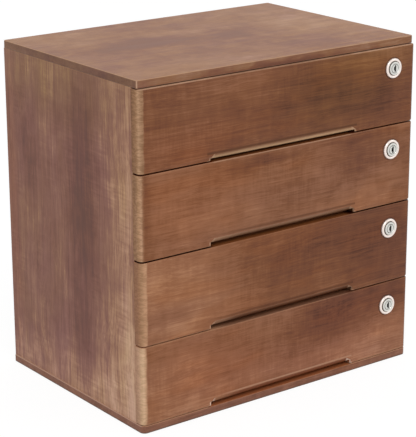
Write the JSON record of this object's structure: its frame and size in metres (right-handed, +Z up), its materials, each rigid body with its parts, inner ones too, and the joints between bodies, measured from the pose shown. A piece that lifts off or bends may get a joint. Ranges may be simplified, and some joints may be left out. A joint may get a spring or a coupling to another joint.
{
  "type": "desktop drawer cabinet",
  "caption": "Wooden desktop cabinet of stacked full-width drawers for papers, each with a finger pull and a round cam lock.",
  "frame": {"origin": "middle of the base board's underside", "axes": "+Z up, +Y to the back, so the drawers open towards -Y, +X to the right seen from the front"},
  "size_m": [0.352, 0.247, 0.355],
  "materials": {
    "front_wood": "satin walnut stain",
    "top_wood": "satin walnut stain",
    "side_wood": "satin walnut stain",
    "base_wood": "satin walnut stain",
    "back_wood": "stained plywood",
    "inner_wood": "stained plywood",
    "drawer_wood": "bare plywood",
    "panel_wood": "bare plywood",
    "dowel_wood": "bare beech",
    "nickel": "satin nickel plate",
    "cam_steel": "zinc plated",
    "screw_steel": "zinc plated"
  },
  "bodies": {
    "case": {"top_board": "top_wood", "base_board": "base_wood", "left_side_panel": "side_wood", "right_side_panel": "side_wood", "back_panel": "back_wood", "shelf_1": "inner_wood", "shelf_2": "inner_wood", "shelf_3": "inner_wood", "top_dowels": "dowel_wood", "base_screws": "screw_steel", "back_screws": "screw_steel"},
    "drawer_1": {"drawer_1_front": "front_wood", "drawer_1_left_side": "drawer_wood", "drawer_1_right_side": "drawer_wood", "drawer_1_back": "drawer_wood", "drawer_1_bottom": "panel_wood", "drawer_1_nails": "screw_steel", "lock_1_barrel": "nickel", "lock_1_nut": "cam_steel"},
    "lock_1": {"lock_1_plug": "nickel", "lock_1_cam": "cam_steel", "lock_1_cam_screw": "cam_steel"},
    "drawer_2": {"drawer_2_front": "front_wood", "drawer_2_left_side": "drawer_wood", "drawer_2_right_side": "drawer_wood", "drawer_2_back": "drawer_wood", "drawer_2_bottom": "panel_wood", "drawer_2_nails": "screw_steel", "lock_2_barrel": "nickel", "lock_2_nut": "cam_steel"},
    "lock_2": {"lock_2_plug": "nickel", "lock_2_cam": "cam_steel", "lock_2_cam_screw": "cam_steel"},
    "drawer_3": {"drawer_3_front": "front_wood", "drawer_3_left_side": "drawer_wood", "drawer_3_right_side": "drawer_wood", "drawer_3_back": "drawer_wood", "drawer_3_bottom": "panel_wood", "drawer_3_nails": "screw_steel", "lock_3_barrel": "nickel", "lock_3_nut": "cam_steel"},
    "lock_3": {"lock_3_plug": "nickel", "lock_3_cam": "cam_steel", "lock_3_cam_screw": "cam_steel"},
    "drawer_4": {"drawer_4_front": "front_wood", "drawer_4_left_side": "drawer_wood", "drawer_4_right_side": "drawer_wood", "drawer_4_back": "drawer_wood", "drawer_4_bottom": "panel_wood", "drawer_4_nails": "screw_steel", "lock_4_barrel": "nickel", "lock_4_nut": "cam_steel"},
    "lock_4": {"lock_4_plug": "nickel", "lock_4_cam": "cam_steel", "lock_4_cam_screw": "cam_steel"}
  },
  "joints": [
    {"name": "drawer_1_slide", "type": "slide", "parent": "case", "child": "drawer_1", "axis": [0, -1, 0], "range_m": [0, 0.17]},
    {"name": "lock_1_turn", "type": "hinge", "parent": "drawer_1", "child": "lock_1", "pos_m": [0.14499, -0.122, 0.3246], "axis": [0, 1, 0], "range_deg": [0, 90]},
    {"name": "drawer_2_slide", "type": "slide", "parent": "case", "child": "drawer_2", "axis": [0, -1, 0], "range_m": [0, 0.17]},
    {"name": "lock_2_turn", "type": "hinge", "parent": "drawer_2", "child": "lock_2", "pos_m": [0.14499, -0.122, 0.23785], "axis": [0, 1, 0], "range_deg": [0, 90]},
    {"name": "drawer_3_slide", "type": "slide", "parent": "case", "child": "drawer_3", "axis": [0, -1, 0], "range_m": [0, 0.17]},
    {"name": "lock_3_turn", "type": "hinge", "parent": "drawer_3", "child": "lock_3", "pos_m": [0.14499, -0.122, 0.1511], "axis": [0, 1, 0], "range_deg": [0, 90]},
    {"name": "drawer_4_slide", "type": "slide", "parent": "case", "child": "drawer_4", "axis": [0, -1, 0], "range_m": [0, 0.17]},
    {"name": "lock_4_turn", "type": "hinge", "parent": "drawer_4", "child": "lock_4", "pos_m": [0.14499, -0.122, 0.06435], "axis": [0, 1, 0], "range_deg": [0, 90]}
  ]
}
